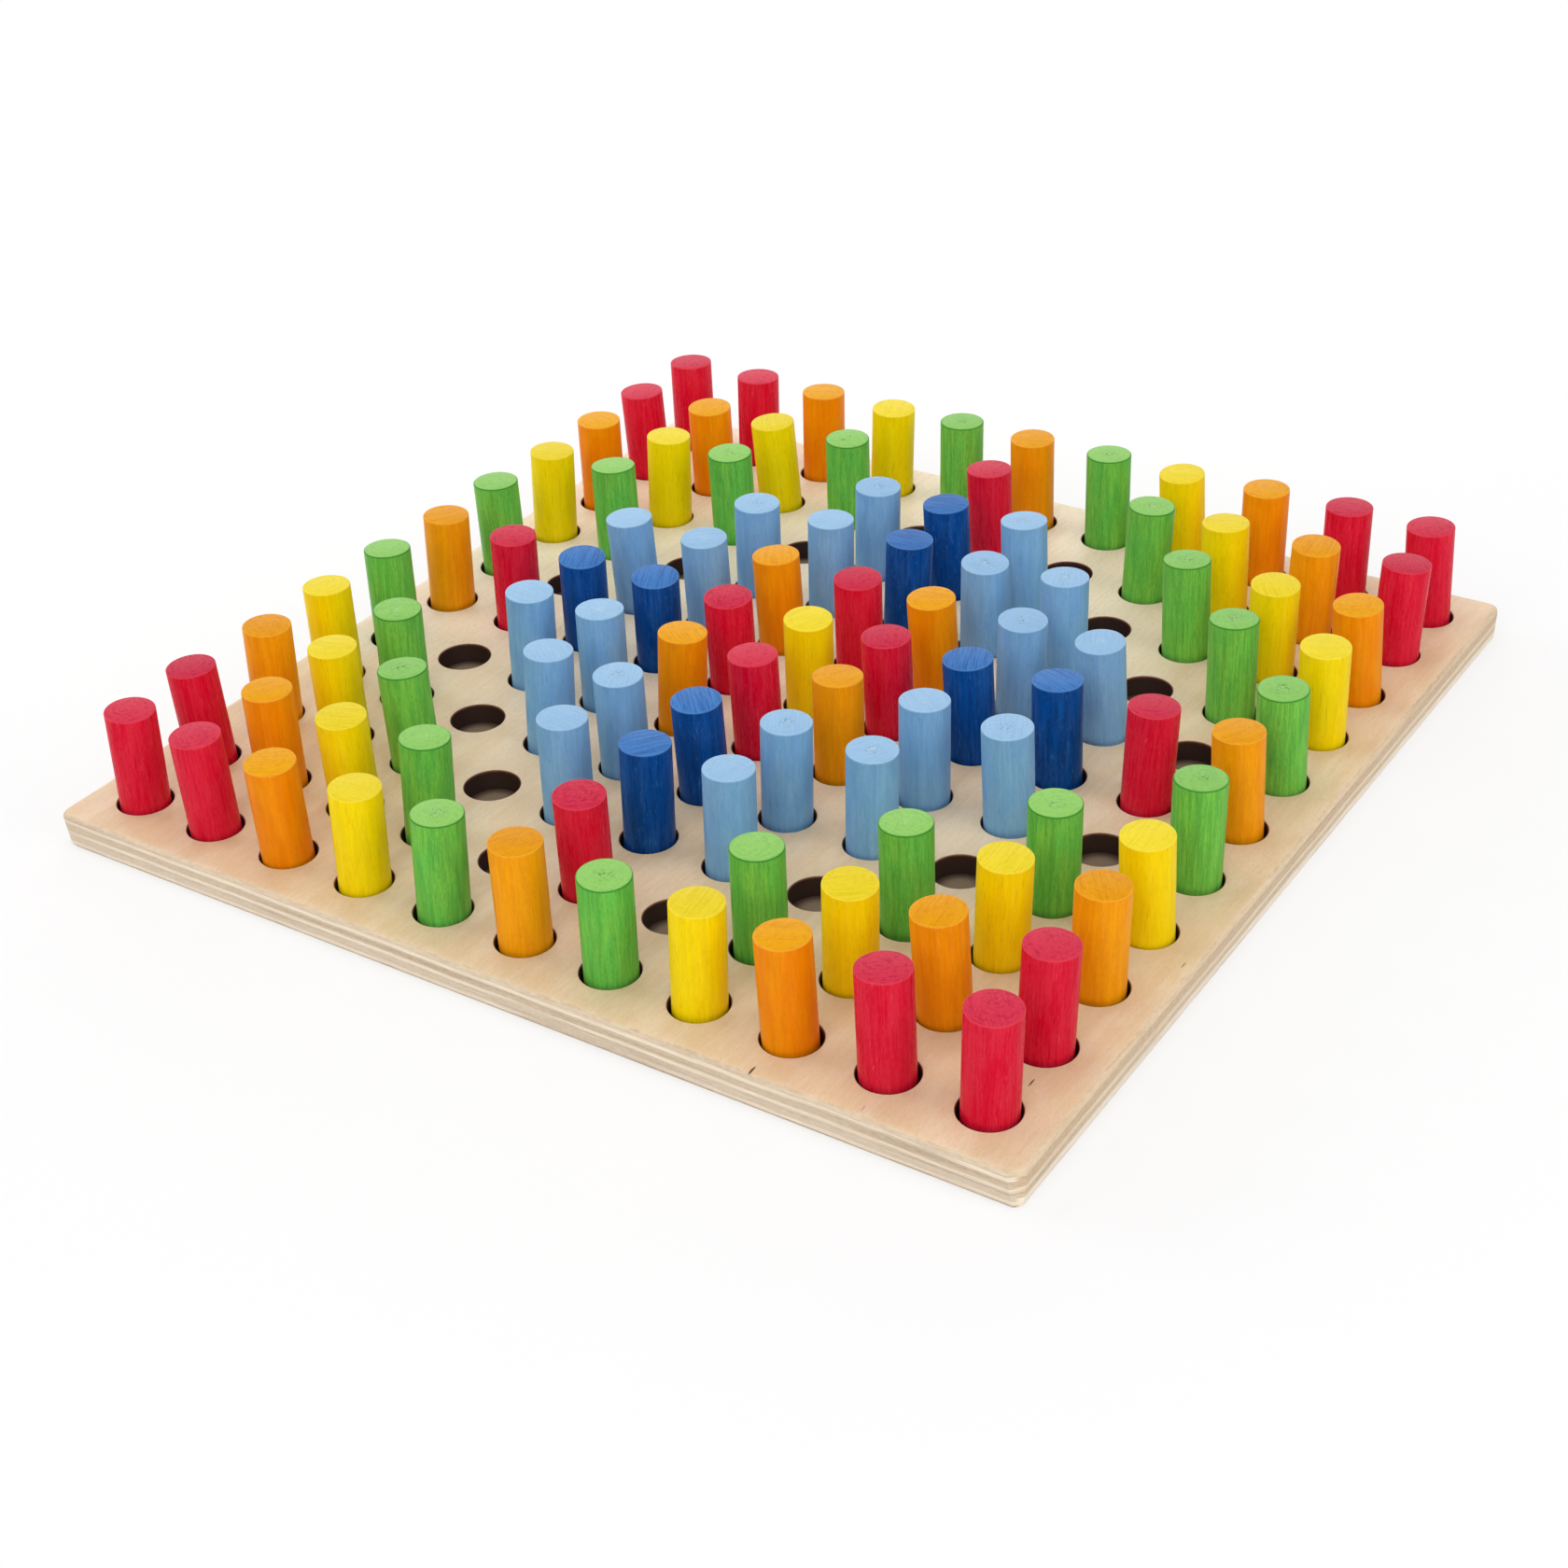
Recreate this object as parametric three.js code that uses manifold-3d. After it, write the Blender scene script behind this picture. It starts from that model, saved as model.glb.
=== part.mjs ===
// A wooden pegboard: a square board of two glued plates with a grid of blind holes, and stained
// dowel pegs that stand loose in the holes in a pattern of coloured diamonds.
// Millimetres, +Z up. The origin is the middle of the underside. The front is -Y, the right is +X.

import * as THREE from "three";
import { mergeVertices } from "three/addons/utils/BufferGeometryUtils.js";
import Module from "manifold-3d";

const wasm = await Module();
wasm.setup();

// The hole grid
const RINGS = 5; // square rings of holes round the middle hole
const HOLE_PITCH = 42;
const EDGE_MARGIN = 27; // from the outer holes' centres to the board's edge

// The board
const PEG_PLATE_THICKNESS = 9.5; // also the depth of the holes
const BASE_PLATE_THICKNESS = 5.5;
const CORNER_RADIUS = 6;
const EDGE_ROUND = 1.5; // on the upper and lower edges

// The pegs
const PEG_DIAMETER = 22;
const PEG_LENGTH = 56;
const HOLE_CLEARANCE = 2.6; // on the diameter, so that a small hand can pull a peg out

// The strip that joins neighbouring pegs of one colour into one sub-part
const LINK_WIDTH = 1.6;
const LINK_THICKNESS = 0.8;
const LINK_GAP = 0.3; // from the board's face

// Facets
const ROUND_SIDES = 12; // of pegs and holes
const CORNER_STEPS = 4; // of the board's corners
const EDGE_STEPS = 2; // of its rounded edges
const MERGE_DISTANCE = 1e-4;

// Worked out from the sizes above
const HOLES_PER_SIDE = 2 * RINGS + 1;
const BOARD_SIDE = (HOLES_PER_SIDE - 1) * HOLE_PITCH + 2 * EDGE_MARGIN;
const BOARD_THICKNESS = BASE_PLATE_THICKNESS + PEG_PLATE_THICKNESS;
const HOLE_DIAMETER = PEG_DIAMETER + HOLE_CLEARANCE;

const COLOURS = {
  plywood: "#dcc7a6",
  red: "#c81e36",
  orange: "#ee8a12",
  yellow: "#f0cc12",
  green: "#5fb046",
  light_blue: "#84b4da",
  dark_blue: "#2a569c",
};

// Colours of the diamonds, from the middle out, off and on the two centre lines. null is an empty hole.
const DIAMOND_COLOURS = [
  null, null, "orange", "light_blue", "light_blue", null, "green", "yellow", "orange", "red", "red",
];
const CENTRE_LINE_COLOURS = ["yellow", "red", "dark_blue", "dark_blue", "red", "orange"];

// Pegs that make one sub-part, as [columns, rows] from the middle hole. These stand in each corner.
const CORNER_RUNS = [
  { label: "pegs", holes: [[5, 4], [5, 5], [4, 5]] },
  { label: "outer_pegs", holes: [[5, 3], [4, 4], [3, 5]] },
  { label: "pegs_a", holes: [[5, 2], [4, 3]] },
  { label: "pegs_b", holes: [[3, 4], [2, 5]] },
  { label: "pegs_a", holes: [[5, 1], [4, 2]] },
  { label: "pegs_b", holes: [[3, 3], [2, 4], [1, 5]] },
  { label: "pegs_a", holes: [[3, 1], [2, 1]] },
  { label: "pegs_b", holes: [[1, 2], [1, 3]] },
  { label: "peg", holes: [[2, 2]] },
  { label: "inner_peg", holes: [[1, 1]] },
];
const CORNERS = {
  front_left: [-1, -1],
  front_right: [1, -1],
  back_right: [1, 1],
  back_left: [-1, 1],
};

// Pegs on the centre lines, as steps from the middle hole. These stand on each side.
const SIDE_RUNS = [
  { label: "peg", steps: [5] },
  { label: "outer_peg", steps: [4] },
  { label: "pegs", steps: [3, 2] },
  { label: "inner_peg", steps: [1] },
];
const SIDES = {
  front: [0, -1],
  right: [1, 0],
  back: [0, 1],
  left: [-1, 0],
};

function solidFrom(geometry) {
  const bare = geometry.clone();
  bare.deleteAttribute("normal");
  bare.deleteAttribute("uv");
  const merged = mergeVertices(bare, MERGE_DISTANCE);
  return new wasm.Manifold(
    new wasm.Mesh({
      numProp: 3,
      vertProperties: merged.attributes.position.array,
      triVerts: new Uint32Array(merged.index.array),
    }),
  );
}

function geometryFrom(solid) {
  const { vertProperties, triVerts } = solid.getMesh();
  const shared = new THREE.BufferGeometry();
  shared.setAttribute("position", new THREE.BufferAttribute(vertProperties, 3));
  shared.setIndex(new THREE.BufferAttribute(triVerts, 1));
  const flat = shared.toNonIndexed();
  flat.computeVertexNormals();
  return flat;
}

function woodMesh(name, geometry, colour) {
  const material = new THREE.MeshStandardMaterial({
    color: COLOURS[colour],
    roughness: 0.65,
    metalness: 0,
  });
  const mesh = new THREE.Mesh(geometry, material);
  mesh.name = name;
  return mesh;
}

// An upright round prism that stands on z = 0.
function uprightPrism(radius, height) {
  return new THREE.CylinderGeometry(radius, radius, height, ROUND_SIDES)
    .rotateX(Math.PI / 2)
    .translate(0, 0, height / 2);
}

// The whole board as it is sanded after gluing, with round corners and edges and no holes yet.
function boardBlank() {
  const half = BOARD_SIDE / 2;
  const inner = half - CORNER_RADIUS;
  const outline = new THREE.Shape();
  outline.absarc(inner, -inner, CORNER_RADIUS, -Math.PI / 2, 0);
  outline.absarc(inner, inner, CORNER_RADIUS, 0, Math.PI / 2);
  outline.absarc(-inner, inner, CORNER_RADIUS, Math.PI / 2, Math.PI);
  outline.absarc(-inner, -inner, CORNER_RADIUS, Math.PI, 1.5 * Math.PI);
  return new THREE.ExtrudeGeometry(outline, {
    depth: BOARD_THICKNESS - 2 * EDGE_ROUND,
    curveSegments: CORNER_STEPS,
    bevelThickness: EDGE_ROUND,
    bevelSize: EDGE_ROUND,
    bevelOffset: -EDGE_ROUND,
    bevelSegments: EDGE_STEPS,
  }).translate(0, 0, EDGE_ROUND);
}

// A slice of the board between two heights.
function boardSlice(bottom, top) {
  const slab = new THREE.BoxGeometry(2 * BOARD_SIDE, 2 * BOARD_SIDE, top - bottom);
  slab.translate(0, 0, (bottom + top) / 2);
  return solidFrom(boardBlank()).intersect(solidFrom(slab));
}

function basePlate() {
  return geometryFrom(boardSlice(0, BASE_PLATE_THICKNESS));
}

// The facets of a hole lie outside its true circle, and a peg's lie inside, so the clearance is kept.
function pegPlate() {
  const holeRadius = HOLE_DIAMETER / 2 / Math.cos(Math.PI / ROUND_SIDES);
  const cutterHeight = 3 * PEG_PLATE_THICKNESS;
  const cutters = [];
  for (let column = -RINGS; column <= RINGS; column++) {
    for (let row = -RINGS; row <= RINGS; row++) {
      const cutter = uprightPrism(holeRadius, cutterHeight);
      cutter.translate(column * HOLE_PITCH, row * HOLE_PITCH, BOARD_THICKNESS - cutterHeight / 2);
      cutters.push(solidFrom(cutter));
    }
  }
  const plate = boardSlice(BASE_PLATE_THICKNESS, BOARD_THICKNESS);
  return geometryFrom(plate.subtract(wasm.Manifold.union(cutters)));
}

// A strip just above the board's face, from one peg's axis to the next.
function linkStrip(from, to) {
  const run = to.clone().sub(from);
  const middle = from.clone().add(to).divideScalar(2);
  const height = PEG_PLATE_THICKNESS + LINK_GAP + LINK_THICKNESS / 2;
  return new THREE.BoxGeometry(run.length(), LINK_WIDTH, LINK_THICKNESS)
    .rotateZ(run.angle())
    .translate(middle.x, middle.y, height);
}

// Pegs at the given places on the base plate's face, with a strip from each to the next.
function pegRun(places) {
  let run = null;
  places.forEach((place, index) => {
    const peg = solidFrom(uprightPrism(PEG_DIAMETER / 2, PEG_LENGTH).translate(place.x, place.y, 0));
    run = run ? run.add(peg) : peg;
    if (index > 0) {
      run = run.add(solidFrom(linkStrip(places[index - 1], place)));
    }
  });
  return geometryFrom(run);
}

function colourAt(column, row) {
  const diamond = Math.abs(column) + Math.abs(row);
  const onCentreLine = column === 0 || row === 0;
  return onCentreLine ? CENTRE_LINE_COLOURS[diamond] : DIAMOND_COLOURS[diamond];
}

// One sub-part of one or more pegs, placed at its first peg's hole.
function pegMesh(label, place, holes) {
  const centres = holes.map(([column, row]) => new THREE.Vector2(column, row).multiplyScalar(HOLE_PITCH));
  const colour = colourAt(...holes[0]);
  const geometry = pegRun(centres.map((centre) => centre.clone().sub(centres[0])));
  const mesh = woodMesh([colour, label, place].join("_"), geometry, colour);
  mesh.position.set(centres[0].x, centres[0].y, 0);
  return mesh;
}

function allPegs() {
  const pegs = new THREE.Group();
  pegs.name = "pegs";
  for (const [place, [right, back]] of Object.entries(CORNERS)) {
    for (const { label, holes } of CORNER_RUNS) {
      pegs.add(pegMesh(label, place, holes.map(([column, row]) => [right * column, back * row])));
    }
  }
  for (const [place, [right, back]] of Object.entries(SIDES)) {
    for (const { label, steps } of SIDE_RUNS) {
      pegs.add(pegMesh(label, place, steps.map((step) => [right * step, back * step])));
    }
  }
  pegs.add(pegMesh("peg", "centre", [[0, 0]]));
  pegs.position.z = BASE_PLATE_THICKNESS;
  return pegs;
}

const board = new THREE.Group();
board.name = "board";
board.add(woodMesh("base_plate", basePlate(), "plywood"));
board.add(woodMesh("peg_plate", pegPlate(), "plywood"));

const pegboard = new THREE.Group();
pegboard.name = "pegboard";
pegboard.add(board, allPegs());

export default pegboard;
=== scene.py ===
# %% [markdown]
# # A pegboard with stained pegs
# The real toy is a square plywood board with a grid of blind holes, and round wooden pegs that stand
# loose in most of them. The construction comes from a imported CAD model, which we load as a fixed frame.
# Everything made below is only the look of it: each new piece takes its size and place from the frame.

# %% Load the frame
import math

import bmesh
import bpy
from mathutils import Color, Matrix, Vector


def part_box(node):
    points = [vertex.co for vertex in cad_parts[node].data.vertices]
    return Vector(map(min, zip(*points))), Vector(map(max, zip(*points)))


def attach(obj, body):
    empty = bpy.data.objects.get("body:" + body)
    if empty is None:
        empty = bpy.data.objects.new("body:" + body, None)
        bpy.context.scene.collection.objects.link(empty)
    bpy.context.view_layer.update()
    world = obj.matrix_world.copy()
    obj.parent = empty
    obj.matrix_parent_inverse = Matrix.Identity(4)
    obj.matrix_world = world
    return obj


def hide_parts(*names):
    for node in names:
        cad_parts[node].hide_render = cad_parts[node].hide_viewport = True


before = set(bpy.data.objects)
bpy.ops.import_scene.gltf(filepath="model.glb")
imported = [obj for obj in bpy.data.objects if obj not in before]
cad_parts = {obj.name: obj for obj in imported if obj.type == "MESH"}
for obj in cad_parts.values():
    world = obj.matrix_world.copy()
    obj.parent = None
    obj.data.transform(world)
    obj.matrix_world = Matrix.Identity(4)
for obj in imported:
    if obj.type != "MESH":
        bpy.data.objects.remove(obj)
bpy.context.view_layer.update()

# %% [markdown]
# ## Sizes
# We could type the sizes again, but then they could drift away from the CAD model. So we measure them
# on its nodes. The middle peg stands on the origin, which makes the next peg's centre the hole pitch.
# Only the play of a peg in its hole is typed, because the box of a node doesn't show it.

# %% Measure the frame
MM = 0.001
HOLE_CLEARANCE = 2.6 * MM

plate_low, plate_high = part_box("peg_plate")
base_low, base_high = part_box("base_plate")
peg_low, peg_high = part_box("yellow_peg_centre")
PITCH = sum(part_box("red_inner_peg_right"), Vector()).x / 2
PEG_RADIUS = (peg_high.x - peg_low.x) / 2
PEG_LENGTH = peg_high.z - peg_low.z
HOLE_RADIUS = PEG_RADIUS + HOLE_CLEARANCE / 2
HOLES_PER_SIDE = 2 * math.floor(plate_high.x / PITCH) + 1
BLOCK_HALF = HOLES_PER_SIDE * PITCH / 2
BORDER = plate_high.x - BLOCK_HALF
BOARD_THICKNESS = plate_high.z - base_low.z
print(f"pitch {PITCH / MM:.1f}, peg {2 * PEG_RADIUS / MM:.1f} x {PEG_LENGTH / MM:.1f},",
      f"{HOLES_PER_SIDE} holes a side, border {BORDER / MM:.1f} mm")

# %% [markdown]
# ## Writing node trees
# Materials and Geometry Nodes are both trees of nodes. Made by hand in the editor they are easy to
# wire, and in a script they get long. Four small helpers keep them short: `pick` finds a socket by its
# name or number, `out` picks an output, `add` makes a node and fills or links its inputs, and `paint`
# turns a colour as a paint chart writes it into the linear numbers that Blender works with.

# %% Node helpers
def pick(sockets, name):
    if isinstance(name, int):
        return sockets[name]
    return next(socket for socket in sockets if socket.enabled and socket.name == name)


def out(node, name=0):
    return pick(node.outputs, name)


def add(tree, kind, inputs, **settings):
    node = tree.nodes.new(kind)
    for name, setting in settings.items():
        setattr(node, name, setting)
    for name, given in inputs.items():
        socket = pick(node.inputs, name)
        if isinstance(given, bpy.types.NodeSocket):
            tree.links.new(given, socket)
        else:
            socket.default_value = given
    return node


def paint(code):
    parts = [int(code[k:k + 2], 16) / 255 for k in (1, 3, 5)]
    return (*Color(parts).from_srgb_to_scene_linear(), 1)


print("plywood beige in linear numbers:", [round(part, 3) for part in paint("#dcc7a6")])

# %% [markdown]
# The next helpers are the sums that the patterns below are made of: sums of numbers and of vectors, a
# soft step from 0 to 1, a mix of two colours or values, and a noise whose cells have a real size. A
# marking is such a noise, cut by a soft step to the part of the surface that it covers.

# %% Pattern helpers
NOISE_MIDDLE = 0.5


def math_of(tree, operation, *values):
    return out(add(tree, "ShaderNodeMath", dict(enumerate(values)), operation=operation))


def product(tree, first, second):
    return math_of(tree, "MULTIPLY", first, second)


def vector_of(tree, operation, *values):
    node = add(tree, "ShaderNodeVectorMath", dict(enumerate(values)), operation=operation)
    return next(socket for socket in node.outputs if socket.enabled)


def height_of(tree, point):
    return out(add(tree, "ShaderNodeSeparateXYZ", {0: point}), "Z")


def soft_step(tree, value, low, high):
    limits = {"Value": value, "From Min": low, "From Max": high}
    return out(add(tree, "ShaderNodeMapRange", limits, interpolation_type="SMOOTHSTEP"))


def mix_of(tree, amount, first, second, kind="RGBA"):
    values = {"Factor": amount, "A": first, "B": second}
    return out(add(tree, "ShaderNodeMix", values, data_type=kind), "Result")


def noise_of(tree, point, cell, detail=2.0, roughness=0.5):
    cells = vector_of(tree, "DIVIDE", point, cell)
    values = {"Vector": cells, "Scale": 1.0, "Detail": detail, "Roughness": roughness}
    return out(add(tree, "ShaderNodeTexNoise", values), "Fac")


def noise_about_zero(tree, point, **noise):
    return math_of(tree, "SUBTRACT", noise_of(tree, point, **noise), NOISE_MIDDLE)


def marking_of(tree, point, step, **noise):
    return soft_step(tree, noise_of(tree, point, **noise), *step)


def markings_of(tree, point, table):
    return {name: marking_of(tree, point, **marking) for name, marking in table.items()}


print("a noise lies round", NOISE_MIDDLE, "and a soft step turns it into a marking")

# %% [markdown]
# Grain is used by several materials, so it is built once, as a shader group with named inputs and
# outputs. One helper opens such a group, and the other wires its results to the outputs.

# %% Shader group helpers
def shader_group(name, inputs, outputs):
    group = bpy.data.node_groups.new(name, "ShaderNodeTree")
    for title, kind in inputs.items():
        group.interface.new_socket(title, in_out="INPUT", socket_type=kind)
    for title in outputs:
        group.interface.new_socket(title, in_out="OUTPUT", socket_type="NodeSocketFloat")
    return group, group.nodes.new("NodeGroupInput"), group.nodes.new("NodeGroupOutput")


def finish_group(group, end, results):
    for title, result in results.items():
        group.links.new(result, end.inputs[title])
    print(group.name, "puts out", ", ".join(results))


# %% [markdown]
# ## Grain along a dowel
# A peg is a length of round beech rod. Along its side the grain shows as long streaks and fine dark
# lines, the dye takes unevenly in patches, and short pale flecks lie in clusters where it didn't take at
# all. An image would repeat on every peg, so the pattern is noise in the peg's own coordinates, and a
# seed moves each peg to another part of that noise. The cells are narrow across the grain and long with
# it.

# %% Shader group for dowel grain
WOOD_INPUTS = {"Point": "NodeSocketVector", "Seed": "NodeSocketFloat"}
SEED_STEP = (1.7, 2.3, 3.1)
BROAD_GRAIN = {"cell": (1.4 * MM, 1.4 * MM, 24 * MM), "detail": 3.0, "roughness": 0.62}
FIBRE_GRAIN = {"cell": (0.3 * MM, 0.3 * MM, 2.5 * MM), "roughness": 0.6}
FIBRE_SHARE = 0.7
STREAK_STEP = (0.34, 0.66)
DOWEL_MARKINGS = {
    "Patches": {"cell": (7 * MM, 7 * MM, 20 * MM), "step": (0.38, 0.66)},
    "Flecks": {"cell": (0.35 * MM, 0.35 * MM, 4.5 * MM), "detail": 1.0, "step": (0.64, 0.74)},
    "Clusters": {"cell": (5 * MM, 5 * MM, 12 * MM), "detail": 1.0, "step": (0.4, 0.6)},
    "Lines": {"cell": (0.4 * MM, 0.4 * MM, 7 * MM), "step": (0.58, 0.72)},
}


def own_place(group, start, point):
    values = {0: SEED_STEP, "Scale": out(start, "Seed")}
    step = add(group, "ShaderNodeVectorMath", values, operation="SCALE")
    return vector_of(group, "ADD", point, out(step))


def dowel_grain():
    names = ["Streaks", "Patches", "Flecks", "Lines"]
    group, start, end = shader_group("Dowel grain", WOOD_INPUTS, names)
    point = own_place(group, start, out(start, "Point"))
    broad = noise_of(group, point, **BROAD_GRAIN)
    fibres = noise_about_zero(group, point, **FIBRE_GRAIN)
    streaks = math_of(group, "MULTIPLY_ADD", fibres, FIBRE_SHARE, broad)
    marks = markings_of(group, point, DOWEL_MARKINGS)
    finish_group(group, end, {
        "Streaks": soft_step(group, streaks, *STREAK_STEP),
        "Patches": marks["Patches"],
        "Flecks": product(group, marks["Flecks"], marks["Clusters"]),
        "Lines": marks["Lines"],
    })
    return group


DOWEL_GRAIN = dowel_grain()

# %% [markdown]
# ## Sawn end of a dowel
# The ends are cut by a saw, which leaves fine nearly parallel lines. The growth rings show here and there
# as arcs off the centre: the sine of the distance from the pith, which noise lets wander. Both could be
# cut into the mesh, but they are far finer than its faces.

# %% Saw lines and growth rings
THROUGH = 50 * MM
SAW_SWAY = {"cell": (8 * MM, 8 * MM, THROUGH), "detail": 1.0}
SAW_SWAY_REACH = 0.7 * MM
SAW_MARKS = {"cell": (0.45 * MM, 16 * MM, THROUGH), "step": (0.42, 0.68)}
PITH = (2.5 * MM, 1.5 * MM, 0)
RING_WIDTH = 0.5 * MM
RING_PATH = {"cell": (4 * MM, 4 * MM, THROUGH)}
RING_WANDER = 12.0
RING_STEP = (-0.6, 1.0)
RINGS_SHOWN = {"cell": (3 * MM, 3 * MM, THROUGH), "step": (0.42, 0.6)}


def saw_lines(group, point):
    sway = product(group, noise_of(group, point, **SAW_SWAY), SAW_SWAY_REACH)
    aside = out(add(group, "ShaderNodeCombineXYZ", {"X": sway}))
    return marking_of(group, vector_of(group, "ADD", point, aside), **SAW_MARKS)


def growth_rings(group, point, flat):
    wander = noise_of(group, point, **RING_PATH)
    from_pith = vector_of(group, "LENGTH", vector_of(group, "SUBTRACT", flat, PITH))
    in_rings = math_of(group, "DIVIDE", from_pith, RING_WIDTH)
    turns = math_of(group, "MULTIPLY_ADD", wander, RING_WANDER, in_rings)
    rings = soft_step(group, math_of(group, "SINE", turns), *RING_STEP)
    return product(group, rings, marking_of(group, point, **RINGS_SHOWN))


print("growth rings every", round(2 * math.pi * RING_WIDTH / MM, 1), "mm")

# %% [markdown]
# On some ends the pith is cracked, or has stayed pale. The seed chooses which: its digits after a
# multiplication are as good as a throw of dice. A crack is the thin line where a noise passes its middle
# value, broken up by another noise and kept near the axis.

# %% Cracks and pale pith
CHOSEN = (0.5, 0.6)
CRACK_CHOICE = 5.0
PITH_CHOICE = 9.0
CRACK_PATH = {"cell": (1.8 * MM, 1.8 * MM, THROUGH), "detail": 4.0, "roughness": 0.65}
CRACK_WIDTH = (0.04, 0.01)
CRACK_BREAKS = {"cell": (1.3 * MM, 1.3 * MM, THROUGH), "step": (0.48, 0.56)}
CRACK_REACH = (0.5 * PEG_RADIUS, 0.1 * PEG_RADIUS)
PITH_PATCHES = {"cell": (1.5 * MM, 1.5 * MM, THROUGH), "step": (0.45, 0.6)}
PITH_REACH = (0.35 * PEG_RADIUS, 0.05 * PEG_RADIUS)


def on_some(group, seed, choice, mask):
    chance = math_of(group, "FRACT", product(group, seed, choice))
    return product(group, mask, soft_step(group, chance, *CHOSEN))


def pith_cracks(group, point, from_axis):
    from_line = math_of(group, "ABSOLUTE", noise_about_zero(group, point, **CRACK_PATH))
    thin = soft_step(group, from_line, *CRACK_WIDTH)
    broken = marking_of(group, point, **CRACK_BREAKS)
    near_pith = soft_step(group, from_axis, *CRACK_REACH)
    return product(group, product(group, thin, broken), near_pith)


def pale_pith(group, point, from_axis):
    patchy = marking_of(group, point, **PITH_PATCHES)
    return product(group, patchy, soft_step(group, from_axis, *PITH_REACH))


print(f"cracks reach {CRACK_REACH[0] / MM:.1f} mm from the axis")

# %% [markdown]
# The group of the end puts these together with the specks in which end grain takes the dye, and with the
# rim of the end. It turns the pattern by the seed, so that no two ends look alike.

# %% Shader group for sawn ends
TURN = 40.0
SPECKS = {"cell": (0.6 * MM, 0.6 * MM, THROUGH), "step": (0.48, 0.66)}
# Band of the edge tone on the rounded edge: dye there, and a painted highlight where the tone is paler.
RIM_DYE_AND_HIGHLIGHT_REACH = (0.93 * PEG_RADIUS, 0.99 * PEG_RADIUS)


def sawn_end():
    names = ["Saw Marks", "Rings", "Specks", "Cracks", "Pale Pith", "Rim"]
    group, start, end = shader_group("Sawn end", WOOD_INPUTS, names)
    seed = out(start, "Seed")
    turn = product(group, seed, TURN)
    turned = out(add(group, "ShaderNodeVectorRotate", {"Vector": out(start, "Point"), "Angle": turn}))
    point = own_place(group, start, turned)
    flat = vector_of(group, "MULTIPLY", turned, (1, 1, 0))
    from_axis = vector_of(group, "LENGTH", flat)
    finish_group(group, end, {
        "Saw Marks": saw_lines(group, point),
        "Rings": growth_rings(group, point, flat),
        "Specks": marking_of(group, point, **SPECKS),
        "Cracks": on_some(group, seed, CRACK_CHOICE, pith_cracks(group, point, from_axis)),
        "Pale Pith": on_some(group, seed, PITH_CHOICE, pale_pith(group, point, from_axis)),
        "Rim": soft_step(group, from_axis, *RIM_DYE_AND_HIGHLIGHT_REACH),
    })
    return group


SAWN_END = sawn_end()

# %% [markdown]
# ## Stained wood
# The pegs are dyed and then sealed with a satin finish. All six stains are one recipe with other
# colours: the dye over the side, streaks, paler patches and flecks, a paler sawn end, and a thin line on
# the rounded edge. On most stains that line is paler than the dye, partly worn dye and partly a painted
# highlight on the edge; on the green pegs it is darker, where dye has gathered. The numbers say how much
# of each marking a stain lets through, and Spread says how far the pegs of one colour differ: the oranges
# run from a deep to a pale tone, the reds are all alike. A marking that isn't listed doesn't show.

# %% Stain colours
STAINS = {
    "red": {
        "side": "#d0032a", "streak": "#e23a50", "line": "#a8021f", "pale": "#e4545a",
        "end": "#d4364d", "end_dark": "#ac0c36", "edge": "#e45a64",
        "Spread": 0.0, "Patches": 0.1, "Streaks": 0.35, "Lines": 0.5, "Flecks": 0.65,
        "Saw Marks": 0.25, "Rings": 0.36, "Specks": 0.42, "Rim": 0.3,
    },
    "orange": {
        "side": "#ec8000", "streak": "#c25c00", "line": "#c25c00", "pale": "#f6a810",
        "end": "#e8a606", "end_dark": "#d08000", "edge": "#f0b850",
        "Spread": 0.8, "Patches": 0.3, "Streaks": 0.3, "Lines": 0.2, "Flecks": 0.1,
        "Saw Marks": 0.4, "Rings": 0.25, "Specks": 0.3, "Rim": 0.3,
    },
    "yellow": {
        "side": "#f7d500", "streak": "#c8a404", "line": "#b08c06", "pale": "#f8e014",
        "end": "#ebd636", "end_dark": "#d4b806", "edge": "#f6e870",
        "Spread": 0.2, "Patches": 0.3, "Streaks": 0.24, "Lines": 0.36, "Flecks": 0.2,
        "Saw Marks": 0.4, "Rings": 0.2, "Specks": 0.2, "Rim": 0.2,
    },
    "green": {
        "side": "#64bc4c", "streak": "#37782a", "line": "#37782a", "pale": "#94cc48",
        "end": "#92c866", "end_dark": "#76ae56", "edge": "#37862f",
        "Spread": 0.2, "Patches": 0.3, "Streaks": 0.43, "Lines": 0.43, "Flecks": 0.45,
        "Saw Marks": 0.2, "Rings": 0.25, "Specks": 0.42, "Rim": 0.95,
        "Cracks": 1.0, "Pale Pith": 0.15,
    },
    "light_blue": {
        "side": "#76a9da", "streak": "#6890b4", "line": "#5c86ae", "pale": "#94c2e0",
        "end": "#9cc0de", "end_dark": "#82a8cc", "edge": "#b4d4ea",
        "Spread": 0.1, "Patches": 0.3, "Streaks": 0.4, "Lines": 0.38, "Flecks": 0.55,
        "Saw Marks": 0.35, "Rings": 0.15, "Specks": 0.3, "Rim": 0.35,
        "Cracks": 0.6, "Pale Pith": 0.2,
    },
    "dark_blue": {
        "side": "#0a4c9a", "streak": "#042656", "line": "#052c62", "pale": "#4478bc",
        "end": "#447ec0", "end_dark": "#2a5a9c", "edge": "#5a90cc",
        "Spread": 0.0, "Patches": 0.17, "Streaks": 0.55, "Lines": 0.35, "Flecks": 0.7,
        "Saw Marks": 0.75, "Specks": 0.35, "Rim": 0.6,
    },
}
print("stains:", ", ".join(STAINS))

# %% [markdown]
# Each marking is mixed over the dye in its own tone. On the side these are layers, one over the other.
# On the end, saw marks, rings and specks all hold more dye, so they are added up first, and the sum
# also gives the relief of the end.

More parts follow.
